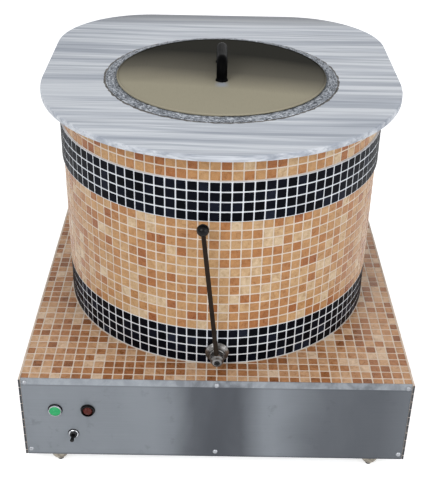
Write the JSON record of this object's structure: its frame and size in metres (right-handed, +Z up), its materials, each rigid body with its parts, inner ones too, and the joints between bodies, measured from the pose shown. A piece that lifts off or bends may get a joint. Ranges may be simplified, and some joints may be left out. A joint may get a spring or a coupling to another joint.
{
  "type": "clay tandoor oven",
  "caption": "Gas-fired clay oven: a clay pot in a mosaic-clad drum on a square mosaic-clad base, with a marble top, a lift-off lid, a gas lever and front controls.",
  "frame": {"origin": "on the floor, below the axis of the pot and the lid", "axes": "+Z up; the control panel and the lever face -Y; the gas inlet points to +Y"},
  "size_m": [0.8284, 0.8741, 0.8179],
  "materials": {
    "frame_steel": "primed grey paint, matt",
    "foot_metal": "turned, lightly polished",
    "pad_rubber": "matt",
    "pan_steel": "galvanised, dull",
    "panel_steel": "fine horizontal brushing",
    "fastener_steel": "bright",
    "cement_board": "matt, sanded cement",
    "base_tiles": "gloss tiles in pale grout",
    "field_tiles": "gloss tiles in pale grout",
    "band_tiles": "gloss tiles in pale grout",
    "refractory": "rough cast, mottled",
    "fired_clay": "matt, fired",
    "insulating_fibre": "loose white fibre",
    "marble": "polished, streaked",
    "black_metal": "satin black",
    "lid_steel": "polished, a little warm",
    "black_handle": "gloss black",
    "boss_metal": "turned, bright",
    "lever_metal": "dark polished bar",
    "valve_brass": "machined",
    "pipe_steel": "drawn, dull",
    "burner_iron": "as cast",
    "ceramic": "glazed ceramic",
    "housing_black": "moulded",
    "bezel_chrome": "bright",
    "button_green": "moulded",
    "lens_red": "moulded lens, unlit"
  },
  "bodies": {
    "oven": {"boss_flange": "boss_metal", "burner_bracket": "frame_steel", "burner_head": "burner_iron", "burner_pipe": "pipe_steel", "button_housing": "bezel_chrome", "cable_gland": "housing_black", "clay_pot": "fired_clay", "cock_body": "valve_brass", "collar_mosaic": "field_tiles", "corner_post_front_left": "frame_steel", "corner_post_front_right": "frame_steel", "corner_post_rear_left": "frame_steel", "corner_post_rear_right": "frame_steel", "deck_beam_front": "frame_steel", "deck_beam_rear": "frame_steel", "deck_board": "cement_board", "deck_mosaic": "base_tiles", "drum_shell": "pan_steel", "end_rail_front": "frame_steel", "end_rail_rear": "frame_steel", "field_mosaic": "field_tiles", "floor_pan": "pan_steel", "foot_front_left": "foot_metal", "foot_front_right": "foot_metal", "foot_pads": "pad_rubber", "foot_rear_left": "foot_metal", "foot_rear_right": "foot_metal", "front_panel": "panel_steel", "hearth_plate": "refractory", "insulation_fill": "insulating_fibre", "jet_block": "valve_brass", "lower_band_mosaic": "band_tiles", "marble_slab": "marble", "mixing_tube": "burner_iron", "mouth_ring": "refractory", "panel_screws": "fastener_steel", "pilot_lamp_housing": "bezel_chrome", "pilot_lens": "lens_red", "rear_panel": "panel_steel", "side_board_left": "cement_board", "side_board_right": "cement_board", "side_mosaic_left": "base_tiles", "side_mosaic_right": "base_tiles", "side_rail_left": "frame_steel", "side_rail_right": "frame_steel", "slab_clips": "black_metal", "spark_box": "housing_black", "spark_electrode": "ceramic", "supply_pipe": "pipe_steel", "toggle_body": "bezel_chrome", "upper_band_mosaic": "band_tiles"},
    "lid": {"lid_disc": "lid_steel", "lid_handle": "black_handle", "handle_screws": "fastener_steel"},
    "lever": {"cock_plug": "valve_brass", "lever_hub": "boss_metal", "lever_rod": "lever_metal", "lever_knob": "black_handle"},
    "start_button": {"push_button": "button_green"},
    "toggle": {"toggle_bat": "black_metal"}
  },
  "joints": [
    {"name": "lid_lift", "type": "slide", "parent": "oven", "child": "lid", "axis": [0, 0, 1], "range_m": [0, 0.25]},
    {"name": "cock_turn", "type": "hinge", "parent": "oven", "child": "lever", "pos_m": [0, -0.38, 0.273], "axis": [0, 1, 0], "range_deg": [0, 90]},
    {"name": "button_press", "type": "slide", "parent": "oven", "child": "start_button", "axis": [0, 1, 0], "range_m": [0, 0.0025], "stiffness_N_per_m": 800, "springref_m": -0.002},
    {"name": "toggle_flip", "type": "hinge", "parent": "oven", "child": "toggle", "pos_m": [-0.306, -0.4162, 0.095], "axis": [-0.9397, 0, 0.342], "range_deg": [0, 30]}
  ]
}
